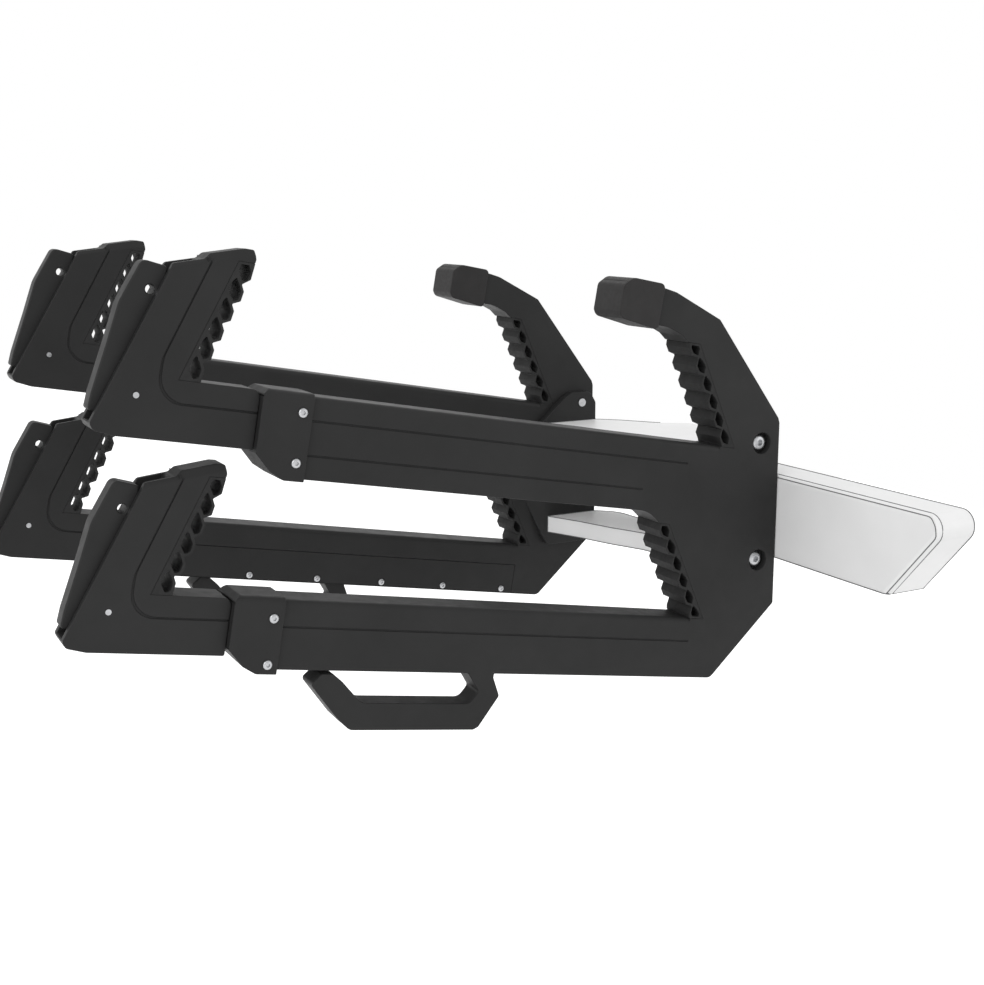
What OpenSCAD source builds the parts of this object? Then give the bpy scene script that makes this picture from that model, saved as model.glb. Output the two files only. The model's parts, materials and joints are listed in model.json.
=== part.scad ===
// Locking board rack for a boat tower: two mirrored forks on one mounting arm. Each fork
// takes two boards, and each board is held by a sliding jaw with a squeeze release lever.
// Millimetres. +X points at the boat, +Y from the front fork to the rear one, +Z up.
// The origin is the middle of the arm's mounting face.

/* [Forks] */
// Distance between the outer faces of the two forks
fork_span = 317; // [280:1:360]
// Thickness of a fork's frame
frame_t = 32; // [30:0.5:36]
// Height between the upper and the lower lever pin
pin_pitch = 142; // [138:1:146]

/* [Jaws] */
// Thickness of a jaw
jaw_t = 26; // [24:0.5:27]
// How far a jaw pulls out
jaw_travel = 130; // [110:1:140]
// Length of tongue left in the beam when a jaw is pulled right out
tongue_grip = 85; // [80:1:95]
// Thickness of a release lever
lever_t = 14; // [12:0.5:15]
// Diameter of the lever and dog pins
pin_d = 4; // [3:0.5:5]
// Diameter of the hole in a lever's top
lever_hole_d = 6; // [4:0.5:8]

/* [Pads] */
// Number of cells in a pad
pad_cells = 6; // [5:1:6]
// Thickness of a pad's backing
pad_back = 2; // [1.5:0.1:3]

/* [Mounting face] */
// Width of the mounting flange
flange_w = 104; // [96:1:120]
// Height of the mounting flange
flange_h = 92; // [84:1:110]
// Distance between the mounting holes, side to side
hole_w = 76; // [70:1:80]
// Distance between the mounting holes, up and down
hole_h = 60; // [56:1:64]
// Diameter of a mounting hole
hole_d = 10.5; // [8.5:0.5:12.5]

/* [Hidden] */
clear = 0.3;
run = 0.05;
arc_over = 0.002;
// The foot of a fork's rear edge, from the upper lever pin, and its distance to the mounting face
base_x = 549.1;
base_z = -111.5;
face_gap = 60.9;
// The upper lever pin, from the origin
pin_x = -base_x - face_gap;
pin_z = 34;
outer = fork_span / 2;
lower = -pin_pitch;
// Jaw and tongue, measured from a fork's outer face
jaw_y = (frame_t - jaw_t) / 2;
mid_y = frame_t / 2;
tongue_t = 18;
tongue_y = mid_y - tongue_t / 2;
tongue_top = 6;
tongue_low = -24;
jaw_end = 81.7;
tongue_end = jaw_end + jaw_travel + tongue_grip;
channel_end = base_x - 124.1;
upper_cover_end = base_x - 119.1;
lower_cover_end = base_x - 83.1;
// Collar and the spigot under it
collar_x = 82;
collar_end = 118.5;
collar_y = 3;
spigot_x = 100;
spigot_in = 3.5;
// Rod, dog and brake strip
crank = 12;
rod_y = mid_y - 6;
rod_t = 3;
dog_x = tongue_end - 35;
dog_z = -4;
dog_arm = 8;
dog_y = mid_y - 2.5;
dog_t = 8.5;
strip_t = 3;
strip_w = 12;
screw_head = 6.8;
bolt_d = 8;
bolt_head = 14;
plate_t = 8;
// The rear of a fork leans forward by this much
lean = 10.35;
bolt_v = -17.5;
bolt_us = [39.1, 136.5];
pad_step = [8.75, -13.2];
jaw_step = [-4.82, -13.4];
steel = "#b9bcc0";
dark = "#353536";
paint = "#38383a";
grip = "#262627";
grey = "#dcdde0";

$fn = 48;

function unit(v) = v / norm(v);
function turn(a, b) = a[0] * b[1] - a[1] * b[0];

// The slice of a circle that rounds the corner p, between its two tangent points. The arc
// reaches a hair past both edges, so that it meets them cleanly.
module corner_slice(p, a, b, r) {
  half = acos(a * b) / 2;
  t = r / tan(half);
  c = p + unit(a + b) * r / sin(half);
  u = (p + a * t - c) / r;
  v = (p + b * t - c) / r;
  g = 2 * sqrt(2 * r * arc_over);
  intersection() {
    polygon([p + a * (t + g) + u, p + (p - c) / r, p + b * (t + g) + v,
      p + b * (t + g) - v / 10, p + a * (t + g) - u / 10]);
    translate(c) circle(r = r + arc_over);
  }
}

// An outline, its points anticlockwise, with a true arc of radius rs[i] at each corner.
module outline(pts, rs) {
  n = len(pts);
  a = [for (i = [0:n - 1]) unit(pts[(i + n - 1) % n] - pts[i])];
  b = [for (i = [0:n - 1]) unit(pts[(i + 1) % n] - pts[i])];
  t = [for (i = [0:n - 1]) rs[i] > 0 ? rs[i] / tan(acos(a[i] * b[i]) / 2) : 0];
  difference() {
    union() {
      polygon([for (i = [0:n - 1]) each rs[i] > 0
        ? [pts[i] + a[i] * t[i], pts[i] + b[i] * t[i]] : [pts[i]]]);
      for (i = [0:n - 1])
        if (rs[i] > 0 && turn(a[i], b[i]) < 0) corner_slice(pts[i], a[i], b[i], rs[i]);
    }
    for (i = [0:n - 1])
      if (rs[i] > 0 && turn(a[i], b[i]) > 0) corner_slice(pts[i], a[i], b[i], rs[i]);
  }
}

// A side profile in X and Z, from y0 to y1.
module slab(y0, y1) {
  translate([0, y1, 0]) rotate([90, 0, 0]) linear_extrude(height = y1 - y0) children();
}

module box(a, b) {
  translate(a) cube(b - a);
}

// A pin along Y.
module rod_y_axis(x, z, d, y0, y1) {
  translate([x, y1, z]) rotate([90, 0, 0]) cylinder(h = y1 - y0, d = d);
}

// Cuts a long edge along X to a true fillet. The edge is at [y, z], and sy and sz point
// into the material.
module edge_cutter(x0, x1, y, z, r, sy, sz) {
  translate([x0, y, z]) scale([1, sy, sz]) difference() {
    translate([0, -1, -1]) cube([x1 - x0, r + 1, r + 1]);
    translate([-1, r, r]) rotate([0, 90, 0]) cylinder(h = x1 - x0 + 2, r = r);
  }
}

// A button-head screw along +Y, its head outside y = 0.
module screw(x, z, head, high, shank, long) {
  translate([x, 0, z]) rotate([90, 0, 0]) {
    difference() {
      intersection() {
        cylinder(h = high, d = head);
        translate([0, 0, high - head * 0.85]) sphere(r = head * 0.85);
      }
      translate([0, 0, high * 0.35]) cylinder(h = high, d = shank * 0.72, $fn = 6);
    }
    translate([0, 0, -long]) cylinder(h = long + 0.1, d = shank);
  }
}

module front() {
  translate([pin_x, -outer, pin_z]) children();
}

module rear() {
  mirror([0, 1, 0]) front() children();
}

module low() {
  translate([0, 0, lower]) children();
}

// Moves parts into the leaning frame of the forks' rear edge: X rearward, Z up the edge.
module leaning() {
  translate([-face_gap, 0, pin_z + base_z]) rotate([0, -lean, 0]) children();
}

// Pads: a row of slanted cells behind a wavy face

jaw_cell = [[0, 9.4], [-2.4, 6.4], [-4.1, 0.1], [-0.7, -5.8], [1.9, -5.2], [3.1, -4], [4.2, 0.8], [2.2, 5.4]];
jaw_cell_r = [0.6, 1, 2, 0.8, 0.8, 0.6, 2, 1];
fork_cell = [[-1.6, 5.9], [-2.6, 4.4], [-2.7, -0.8], [0.3, -4.7], [5.2, -6.0], [5.4, -0.6], [2.6, 2.8]];
fork_cell_r = [0.5, 0.5, 1.5, 1.5, 0.5, 1.5, 1.5];
jaw_first = [59.9, 87.5];
arm_first = [base_x - 125.25, 87.2];
slot_first = [base_x - 123.95, -57.4];
jaw_back = -4.7 - pad_back;
fork_back = 3.8 + pad_back;

function jaw_line(z) = jaw_first[0] + (z - jaw_first[1]) * jaw_step[0] / jaw_step[1]
  + jaw_back * norm(jaw_step) / abs(jaw_step[1]);
function fork_line(first, z) = first[0] + (z - first[1]) * pad_step[0] / pad_step[1]
  + fork_back * norm(pad_step) / abs(pad_step[1]);

module jaw_pad_outline() {
  n = pad_cells;
  lobes = [for (i = [n - 1:-1:1]) let (c = jaw_first + i * jaw_step)
    each [c + [4.7, -5.6], c + [6, 0.9], c + [4, 5.4]]];
  all = concat(
    [[jaw_line(94), 94], [jaw_line(13), 13], [40.6, 13]],
    [for (p = lobes) if (p[1] > 15.5) p],
    [[64.6, 83.2], [66.2, 94]]);
  rs = [for (i = [0:len(all) - 1]) i < 3 || i > len(all) - 2 ? 0 : 0.9];
  outline(all, rs);
}

module jaw_pad_shape() {
  slab(jaw_y, jaw_y + jaw_t) difference() {
    jaw_pad_outline();
    for (i = [0:pad_cells - 1]) intersection() {
      translate(jaw_first + i * jaw_step) outline(jaw_cell, jaw_cell_r);
      polygon([[20, 14.6], [90, 14.6], [90, 92.4], [20, 92.4]]);
    }
  }
}

module fork_pad_outline(first, top, bottom) {
  n = pad_cells;
  lobes = [for (i = [0:n - 1]) let (c = first + i * pad_step)
    each [c + [-3.2, 4.9], c + [-4.3, -1.2], c + [-0.8, -6.4], c + [4.6, -7.6]]];
  inside = [for (p = lobes) if (p[1] < top - 1 && p[1] > bottom + 1) p];
  all = concat(
    [[fork_line(first, bottom), bottom], [fork_line(first, top), top], [first[0] - 4.4, top]],
    inside,
    [[inside[len(inside) - 1][0] + 0.6, bottom]]);
  rs = [for (i = [0:len(all) - 1]) i < 3 || i > len(all) - 2 ? 0 : 0.9];
  outline(all, rs);
}

module fork_pad_shape(first, top, bottom) {
  slab(0, frame_t) difference() {
    fork_pad_outline(first, top, bottom);
    for (i = [0:pad_cells - 1]) intersection() {
      translate(first + i * pad_step) outline(fork_cell, fork_cell_r);
      polygon([
        [base_x - 170, bottom + 1.6],
        [base_x, bottom + 1.6],
        [base_x, top - 1.6],
        [base_x - 170, top - 1.6]]);
    }
  }
}

beam_top = 13;
beam_low = -44;
low_top = lower + 14;
low_low = lower - 35.5;
arm_pad_top = 90;
arm_pad_low = beam_top;
slot_pad_top = -53;
slot_pad_low = low_top;

// The frame of one fork: two beams, the spine, the arm over the upper slot and the hook

rear_foot = [base_x - 52.1, low_low];
rear_low = [base_x, base_z];
rear_top = [base_x - 27.3, 38];
arm_tip = base_x - 197.1;
arm_bend = [base_x - 104.8, 111.5];

module frame_outline() {
  outline([
    [collar_end, low_low],
    [299.5, low_low],
    rear_foot,
    rear_low,
    rear_top,
    rear_top + [-2.1, 4],
    arm_bend,
    [base_x - 150.1, 126],
    [base_x - 161.1, 127.4],
    [arm_tip, 127.4],
    [arm_tip, 102],
    [arm_tip + 23, 98.8],
    [arm_tip + 45, 99],
    [base_x - 138.1, 94.5],
    [base_x - 131.6, arm_pad_top],
    [fork_line(arm_first, arm_pad_top), arm_pad_top],
    [fork_line(arm_first, arm_pad_low), arm_pad_low],
    [collar_end, beam_top],
    [collar_end, beam_low],
    [base_x - 142.1, beam_low],
    [base_x - 128.6, slot_pad_top],
    [fork_line(slot_first, slot_pad_top), slot_pad_top],
    [fork_line(slot_first, slot_pad_low), slot_pad_low],
    [collar_end, low_top]],
    [0, 0, 7, 2, 2, 2, 3, 20, 6, 0, 0, 3, 30, 6, 0, 0, 0, 0, 0, 26, 0, 0, 0, 0]);
}

module hook() {
  slab(0, 20) outline([
    [270.5, low_low + 6],
    [270.5, low_low - 0.5],
    [281.5, low_low - 14],
    [275.5, low_low - 23.5],
    [187, low_low - 23.5],
    [170, low_low - 8],
    [162.5, low_low - 2.6],
    [153.4, low_low - 2.6],
    [146, low_low - 10.5],
    [170, low_low - 35.2],
    [181, low_low - 43.8],
    [282, low_low - 43.8],
    [286, low_low - 41.5],
    [299.8, low_low - 17.1],
    [292.4, low_low - 3],
    [292.4, low_low + 6]],
    [0, 2, 3, 8, 12, 4, 3, 2, 3, 6, 8, 3, 3, 3, 2, 0]);
}

// The spigot under the collar, and the channel for the tongue
module beam_spigot(bottom) {
  slab(spigot_in, frame_t - spigot_in) polygon([
    [spigot_x, bottom + 4.5],
    [spigot_x + 4.5, bottom],
    [collar_end + 1, bottom],
    [collar_end + 1, 10.5],
    [spigot_x, 10.5]]);
}

module beam_channel(window_end, cover_end) {
  box([collar_x - 5, tongue_y - clear, tongue_low - clear],
    [channel_end, tongue_y + tongue_t + clear, tongue_top + clear]);
  box([124, tongue_y + tongue_t, tongue_low - clear],
    [window_end, frame_t - 2, -9.5]);
  box([collar_end - 1, frame_t - 3, -35], [cover_end, frame_t + 1, -6.7]);
  box([120, mid_y - strip_w / 2, tongue_low - clear - strip_t],
    [320, mid_y + strip_w / 2, tongue_low]);
  for (x = cover_screw_xs) if (x < cover_end - 10) rod_y_axis(x, -31, 3, 20, 30);
  for (z = [1.5, bottom_screw(cover_end)]) rod_y_axis(110.8, z, 4, 0, 6.3);
}

cover_screw_xs = [for (k = [0:4]) 194 + 65 * k];
function bottom_screw(cover_end) = cover_end > upper_cover_end ? -31.2 : -32.9;

// A shallow groove along the frame's face, such as a casting's step
module face_groove(x0, x1, z) {
  box([x0, -1, z - 0.6], [x1, 1, z + 0.6]);
}

module fork_frame() {
  difference() {
    union() {
      slab(0, frame_t) frame_outline();
      hook();
      beam_spigot(beam_low + 3.5);
      low() beam_spigot(-33);
    }
    beam_channel(channel_end - 7, upper_cover_end);
    low() beam_channel(lower_cover_end - 11, lower_cover_end);
    for (z = [beam_top, low_top]) {
      edge_cutter(collar_end, lower_cover_end, 0, z, 4, 1, -1);
      edge_cutter(collar_end, lower_cover_end, frame_t, z, 4, -1, -1);
    }
    face_groove(collar_end - 1, base_x - 112.1, -3.5);
    face_groove(collar_end - 1, base_x - 151.1, -27.3);
    low() face_groove(collar_end - 1, base_x - 81.1, -5);
    for (u = bolt_us) bolt_place(u) {
      rod_y_axis(0, 0, bolt_d + 1, -1, frame_t + 1);
      rod_y_axis(0, 0, bolt_head + 3.5, -1, 7);
    }
  }
}

module bolt_place(u) {
  translate([base_x, 0, base_z]) rotate([0, -lean, 0]) translate([bolt_v, 0, u]) children();
}

module frame_bolt() {
  translate([0, 7, 0]) {
    screw(0, 0, bolt_head, 4.4, bolt_d, frame_t + plate_t - 7 + 0.5);
  }
}

// A rubber cap on the end of the arm
module arm_end_cap_shape() {
  difference() {
    slab(-3, frame_t + 3) outline([
      [arm_tip - 1, 99.5],
      [arm_tip + 33.5, 95.4],
      [arm_tip + 33.5, 130.4],
      [arm_tip + 4, 130.8],
      [arm_tip - 3.5, 124],
      [arm_tip - 3.5, 104]],
      [6, 3, 4, 8, 5, 4]);
    slab(0, frame_t) polygon([
      [arm_tip, 102], [arm_tip + 23, 98.8], [arm_tip + 45, 99], [arm_tip + 45, 127.4], [arm_tip, 127.4]]);
  }
}

// The collar where a jaw leaves its beam
module collar_shape(bottom, spigot_bottom, top) {
  difference() {
    slab(-collar_y, frame_t + collar_y) outline([
      [collar_x, bottom + 16.5],
      [collar_x + 11.5, bottom + 5],
      [collar_x + 21.6, bottom],
      [collar_end, bottom],
      [collar_end, top],
      [collar_x + 4, top],
      [collar_x, top - 4]],
      [1.5, 6, 6, 0, 0, 2, 2]);
    box([collar_x - 1, tongue_y - clear, tongue_low - clear],
      [collar_end + 1, tongue_y + tongue_t + clear, tongue_top + clear]);
    slab(spigot_in, frame_t - spigot_in) polygon([
      [spigot_x, spigot_bottom + 4.5],
      [spigot_x + 4.5, spigot_bottom],
      [collar_end + 1, spigot_bottom],
      [collar_end + 1, 10.5],
      [spigot_x, 10.5]]);
    edge_cutter(collar_x, collar_end, -collar_y, top, 5, 1, -1);
    edge_cutter(collar_x, collar_end, frame_t + collar_y, top, 5, -1, -1);
    rod_y_axis(110.8, 1.5, 4, -5, 7);
    rod_y_axis(110.8, bottom_screw(bottom < -42 ? upper_cover_end : lower_cover_end), 4, -5, 7);
  }
}

module upper_collar() {
  collar_shape(beam_low - 1.5, beam_low + 3.5, 15);
}

module lower_collar() {
  low() collar_shape(-38.3, -33, 16);
}

module collar_screw_pair(low_z) {
  for (z = [1.5, low_z]) translate([0, -collar_y, 0]) screw(110.8, z, screw_head, 1.8, 4, 9.2);
}

module cover_shape(cover_end) {
  difference() {
    box([collar_end + 0.5, frame_t - 3, -34.7], [cover_end - clear, frame_t, -7]);
    for (x = cover_screw_xs) if (x < cover_end - 10) rod_y_axis(x, -31, 3, 20, 40);
  }
}

module cover_screw_row(cover_end) {
  for (x = cover_screw_xs) if (x < cover_end - 10)
    translate([0, frame_t, 0]) mirror([0, 1, 0]) screw(x, -31, 6, 1.6, 3, 10);
}

module strip_shape() {
  box([120, mid_y - strip_w / 2, tongue_low - clear - strip_t],
    [320, mid_y + strip_w / 2, tongue_low - clear]);
}

// A jaw with its tongue

module step_region() {
  outline([[90, 112], [44.6, 112], [13.4, 25], [12.8, -3.3], [90, -3.3]], [0, 0, 20, 17, 0]);
}

module step_groove() {
  difference() {
    step_region();
    translate([1.5, 1.2]) step_region();
  }
}

module jaw_body_shape() {
  difference() {
    union() {
      slab(jaw_y, jaw_y + jaw_t) outline([
        [-24.2, -25.2],
        [-11, -27.5],
        [jaw_end, -27.5],
        [jaw_end, 13],
        [jaw_line(13), 13],
        [jaw_line(94), 94],
        [66.2, 94],
        [66.7, 96.6],
        [65.1, 102.8],
        [59.3, 102.8],
        [36.4, 96],
        [33, 92],
        [13, 86],
        [-27, -21]],
        [4, 8, 1.5, 6, 0, 0, 0, 1, 1.5, 4, 3, 3, 2.5, 3]);
      box([jaw_end - 5, tongue_y, tongue_low], [tongue_end, tongue_y + tongue_t, tongue_top]);
    }
    // The lever's slot, open along the outer edge
    slab(mid_y - lever_t / 2 - 0.5, mid_y + lever_t / 2 + 0.5) {
      outline([
        [-60, -20],
        [9, -20],
        [11, -6],
        [10, 8],
        [8, 15],
        [26.6, 81],
        [30, 90],
        [40, 120],
        [-60, 120]],
        [0, 3, 3, 5, 6, 0, 0, 0, 0]);
    }
    // The rod's groove and the dog's pocket
    box([0, rod_y - clear, -30], [tongue_end - 60, rod_y + rod_t + clear, -7.7]);
    box([tongue_end - 61, mid_y - 6.5, -30], [tongue_end - 20, mid_y + 6.5, 3]);
    rod_y_axis(0, 0, pin_d, 0, frame_t);
    rod_y_axis(dog_x, dog_z, pin_d, 0, frame_t);
    // The step on both faces, and the broken edge of the tip
    for (s = [0, 1]) translate([0, s * frame_t, 0]) scale([1, 1 - 2 * s, 1])
      slab(jaw_y - 1, jaw_y + 1.2) step_groove();
    for (s = [0, 1]) translate([0, s * frame_t, 0]) scale([1, 1 - 2 * s, 1])
      tip_edge();
  }
}

// Bevels the edges along the top of a jaw: by deep across the face, bz down it
module bevel(a, b, by, bz) {
  translate([a[0], jaw_y, a[1]]) rotate([0, -atan2(b[1] - a[1], b[0] - a[0]), 0])
    rotate([90, 0, 90]) linear_extrude(height = norm(b - a))
      polygon([[-1, -bz * (1 + 1 / by)], [by * (1 + 2 / bz), 2], [-1, 2]]);
}

module tip_edge() {
  bevel([34.4, 95.4], [70, 106], 3.5, 5.5);
  bevel([8, 84.5], [34.9, 92.6], 2, 2.5);
}

module lever_shape() {
  difference() {
    slab(mid_y - lever_t / 2, mid_y + lever_t / 2) difference() {
      union() {
        outline([
          [-5.5, 85.6],
          [-16.8, 57],
          [-21, 30.8],
          [-26.9, -2],
          [-28, -13.5],
          [-22, -13.5],
          [-5, -10],
          [-5, -17],
          [5, -17],
          [8.3, 0],
          [4.5, 14],
          [3, 40],
          [8, 62],
          [12, 83.4]],
          [5, 30, 60, 20, 2, 6, 2, 3, 3, 4, 8, 30, 30, 3]);
        circle(d = 17);
      }
      circle(d = pin_d + 2 * run);
      translate([2, 67.4]) circle(d = lever_hole_d);
      for (d = [crank - 0.05, crank + 0.25]) translate([0, -d]) circle(d = pin_d + 0.2);
      translate([-pin_d / 2 - 0.1, -crank - 0.25]) square([pin_d + 0.2, 0.3]);
    }
    // Room for the rod beside the crank
    box([-9.5, 0, -20], [12, rod_y + rod_t + 0.35, -6]);
  }
}

module rod_shape() {
  slab(rod_y, rod_y + rod_t) {
    translate([0, -16]) square([dog_x, 8]);
    translate([0, -crank]) circle(r = 4);
    translate([dog_x, -crank]) circle(r = 4);
  }
  rod_y_axis(0, -crank, pin_d, rod_y, mid_y + lever_t / 2 - 0.5);
  rod_y_axis(dog_x, -crank, pin_d, rod_y, dog_y + dog_t);
}

module dog_shape() {
  slab(dog_y, dog_y + dog_t) difference() {
    union() {
      outline([
        [dog_x - 20, tongue_low - clear],
        [dog_x - 7, tongue_low - clear],
        [dog_x - 2, -17.5],
        [dog_x + 4.5, -17.5],
        [dog_x + 6, dog_z],
        [dog_x - 6, dog_z],
        [dog_x - 9, -15],
        [dog_x - 20, -15]],
        [1, 0, 2, 2, 0, 0, 2, 1.5]);
      translate([dog_x, dog_z]) circle(d = 12);
    }
    translate([dog_x, dog_z]) circle(d = pin_d + 2 * run);
    for (d = [dog_arm - 0.02, dog_arm + 0.3])
      translate([dog_x, dog_z - d]) circle(d = pin_d + 0.2);
    translate([dog_x - pin_d / 2 - 0.1, dog_z - dog_arm - 0.3]) square([pin_d + 0.2, 0.3]);
  }
}

// The spring that presses the dog on the strip: a wire of six sides wound into a helix
module spring_shape() {
  coil = 3;
  wire = 1.1;
  high = 18 - wire - 0.04;
  turns = 5;
  steps = 16 * turns;
  function at(i, k) = let (a = 360 * turns * i / steps, n = [cos(a), sin(a), 0],
    t = unit([-coil * sin(a), coil * cos(a), high / turns / 2 / PI]))
    [coil * cos(a), coil * sin(a), high * i / steps]
    + wire / 2 * (cos(60 * k) * n + sin(60 * k) * cross(t, n));
  points = [for (i = [0:steps], k = [0:5]) at(i, k)];
  sides = [for (i = [0:steps - 1], k = [0:5]) let (p = 6 * i + k, q = 6 * i + (k + 1) % 6)
    each [[p, p + 6, q + 6], [p, q + 6, q]]];
  translate([dog_x - 15, dog_y + dog_t / 2, -15 + wire / 2 + 0.02])
    polyhedron(points, concat(sides, [[0, 1, 2, 3, 4, 5]], [[for (k = [5:-1:0]) 6 * steps + k]]));
}

module jaw_pin_pair() {
  rod_y_axis(0, 0, pin_d, jaw_y, jaw_y + jaw_t);
  rod_y_axis(dog_x, dog_z, pin_d, tongue_y, tongue_y + tongue_t);
}

// The plate between a fork and the arm, in the leaning frame
module bracket_shape() {
  difference() {
    translate([0, -outer + frame_t, 0]) slab(0, plate_t) outline([
      [-56, -3],
      [-6, -3],
      [-1.5, 2],
      [-1.5, 136],
      [-8, 147],
      [-29, 147],
      [-37, 142.5],
      [-76, 108],
      [-76, 40],
      [-61, 5]],
      [2, 2, 3, 6, 8, 5, 8, 10, 12, 4]);
    translate([0, -outer + frame_t, 0]) linear_extrude(height = 300, center = true)
      polygon([[-90, 0], [-76.2, 0], [-59.5, plate_t + 0.1], [-90, plate_t + 0.1]]);
    for (u = bolt_us) translate([0, -outer, 0])
      rod_y_axis(bolt_v, u, bolt_d, frame_t - 1, frame_t + plate_t + 1);
    for (p = bracket_screw_at) translate([p[0], -outer + frame_t, p[1]]) rotate([-90, 0, 0]) {
      translate([0, 0, -1]) cylinder(h = 20, d = 6);
      translate([0, 0, -0.01]) cylinder(h = 3.4, d1 = 12.2, d2 = 6);
    }
  }
}

bracket_screw_at = [[-44, 111], [-12, 111], [-44, 18], [-12, 18]];

module bracket_screw_set() {
  for (p = bracket_screw_at) translate([p[0], -outer + frame_t, p[1]]) rotate([-90, 0, 0])
    difference() {
      union() {
        cylinder(h = 3.3, d1 = 12, d2 = 6);
        cylinder(h = 22, d = 6);
      }
      translate([0, 0, -0.1]) cylinder(h = 2.4, d = 4, $fn = 6);
    }
}

// The mounting arm: two decks, the wing behind the forks, and the neck with its flange

deck_end = outer - frame_t - plate_t;
deck_t = 16;
deck_us = [10, 102.8];

module deck_outline(upper) {
  reach = upper ? 65 : 30;
  outline([
    [-56, -deck_end],
    [-1.5, -deck_end],
    [16, -deck_end + 17],
    [reach * 0.585, -deck_end + 48],
    [reach, -deck_end + 66.4],
    [reach, deck_end - 66.4],
    [reach * 0.585, deck_end - 48],
    [16, deck_end - 17],
    [-1.5, deck_end],
    [-56, deck_end],
    [-40.7, 82.5],
    [-29, 47],
    [-14.6, 13],
    [-12, 0],
    [-14.6, -13],
    [-29, -47],
    [-40.7, -82.5]],
    [0, 8, 30, 20, 0, 0, 20, 30, 8, 0, 60, 60, 20, 5, 20, 60, 60]);
}

wing_us = [39, 108];
wing_ys = [288.5, 348.5];
wing_t = 36.5;
wing_wall = 6;
rib_pitch = 54;

function wing_slope() = (wing_ys[1] - wing_ys[0]) / (wing_us[1] - wing_us[0]);
// Where the inner face of the wing's slanted end wall is at height u
function wing_inside(u) = wing_ys[0] + (u - wing_us[0]) * wing_slope()
  - wing_wall * norm([1, wing_slope()]);

module wing_shape() {
  low_u = wing_us[0] + wing_wall;
  top_u = wing_us[1] - wing_wall - 1;
  difference() {
    translate([0.5, 0, 0]) rotate([90, 0, 90]) linear_extrude(height = wing_t)
      outline([
        [-wing_ys[0], wing_us[0]],
        [wing_ys[0], wing_us[0]],
        [wing_ys[1], wing_us[1]],
        [-wing_ys[1], wing_us[1]]],
        [3, 3, 12, 12]);
    // Cored from the rear, with ribs left between the pockets
    for (s = [-1, 1]) scale([1, s, 1]) translate([7, 0, 0]) rotate([90, 0, 90])
      linear_extrude(height = wing_t) {
        for (k = [0:3]) let (y = 66 + rib_pitch * k)
          outline([
            [y, low_u],
            [y + rib_pitch - wing_wall, low_u],
            [y + rib_pitch - wing_wall, top_u],
            [y, top_u]],
            [5, 5, 5, 5]);
        outline([
          [66 + 4 * rib_pitch, low_u],
          [max(wing_inside(low_u), 69 + 4 * rib_pitch), low_u],
          [wing_inside(top_u), top_u],
          [66 + 4 * rib_pitch, top_u]],
          [1, 1, 5, 5]);
      }
    // Rounded front edges along the top and down both slanted ends
    translate([0.5, wing_ys[1] + 10, wing_us[1]]) rotate([0, 0, -90])
      edge_cutter(0, 2 * wing_ys[1] + 20, 0, 0, 5, 1, -1);
    for (s = [-1, 1]) scale([1, s, 1]) translate([0.5, wing_ys[0], wing_us[0]])
      rotate([90 - atan(wing_slope()), 0, 0]) translate([0, -20, 0]) wing_end_cutter();
  }
}

module wing_end_cutter() {
  r = 5;
  difference() {
    translate([-1, 0, -1]) cube([r + 1, 130, r + 1]);
    translate([r, -1, r]) rotate([-90, 0, 0]) cylinder(h = 132, r = r);
  }
}

module mount_arm_shape() {
  difference() {
    union() {
      leaning() {
        for (k = [0, 1]) translate([0, 0, deck_us[k]])
          linear_extrude(height = deck_t) deck_outline(k == 1);
        wing_shape();
        // The web that joins the decks in front of the wing
        translate([12, -46, 12]) cube([25, 92, 100]);
      }
      // Neck and flange
      translate([0, 0, -flange_h / 2 + 8]) linear_extrude(height = flange_h - 16)
        outline([[-50, -46], [-10, -28], [-10, 28], [-50, 46]], [0, 0, 0, 0]);
      translate([-12, 0, 0]) rotate([90, 0, 90]) linear_extrude(height = 12)
        outline([
          [-flange_w / 2, -flange_h / 2],
          [flange_w / 2, -flange_h / 2],
          [flange_w / 2, flange_h / 2],
          [-flange_w / 2, flange_h / 2]],
          [10, 10, 10, 10]);
    }
    for (y = [-1, 1], z = [-1, 1])
      translate([-13, y * hole_w / 2, z * hole_h / 2]) rotate([0, 90, 0]) cylinder(h = 14, d = hole_d);
    leaning() for (s = [-1, 1], p = bracket_screw_at) scale([1, s, 1])
      translate([p[0], -deck_end - 1, p[1]]) rotate([-90, 0, 0]) cylinder(h = 16, d = 6);
  }
}

// One module for each separate piece

module mount_arm() { color(grey) mount_arm_shape(); }

module front_bracket() { color(dark) leaning() bracket_shape(); }
module rear_bracket() { color(dark) leaning() mirror([0, 1, 0]) bracket_shape(); }

module bracket_screws() {
  color(steel) leaning() {
    bracket_screw_set();
    mirror([0, 1, 0]) bracket_screw_set();
  }
}

module frame_bolts() {
  color(steel) {
    front() for (u = bolt_us) bolt_place(u) frame_bolt();
    rear() for (u = bolt_us) bolt_place(u) frame_bolt();
  }
}

module front_frame() { color(paint) front() fork_frame(); }
module rear_frame() { color(paint) rear() fork_frame(); }

module front_arm_end_cap() { color(paint) front() arm_end_cap_shape(); }
module rear_arm_end_cap() { color(paint) rear() arm_end_cap_shape(); }

module front_arm_pad() { color(grip) front() fork_pad_shape(arm_first, arm_pad_top, arm_pad_low); }
module rear_arm_pad() { color(grip) rear() fork_pad_shape(arm_first, arm_pad_top, arm_pad_low); }
module front_slot_pad() { color(grip) front() fork_pad_shape(slot_first, slot_pad_top, slot_pad_low); }
module rear_slot_pad() { color(grip) rear() fork_pad_shape(slot_first, slot_pad_top, slot_pad_low); }

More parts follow.
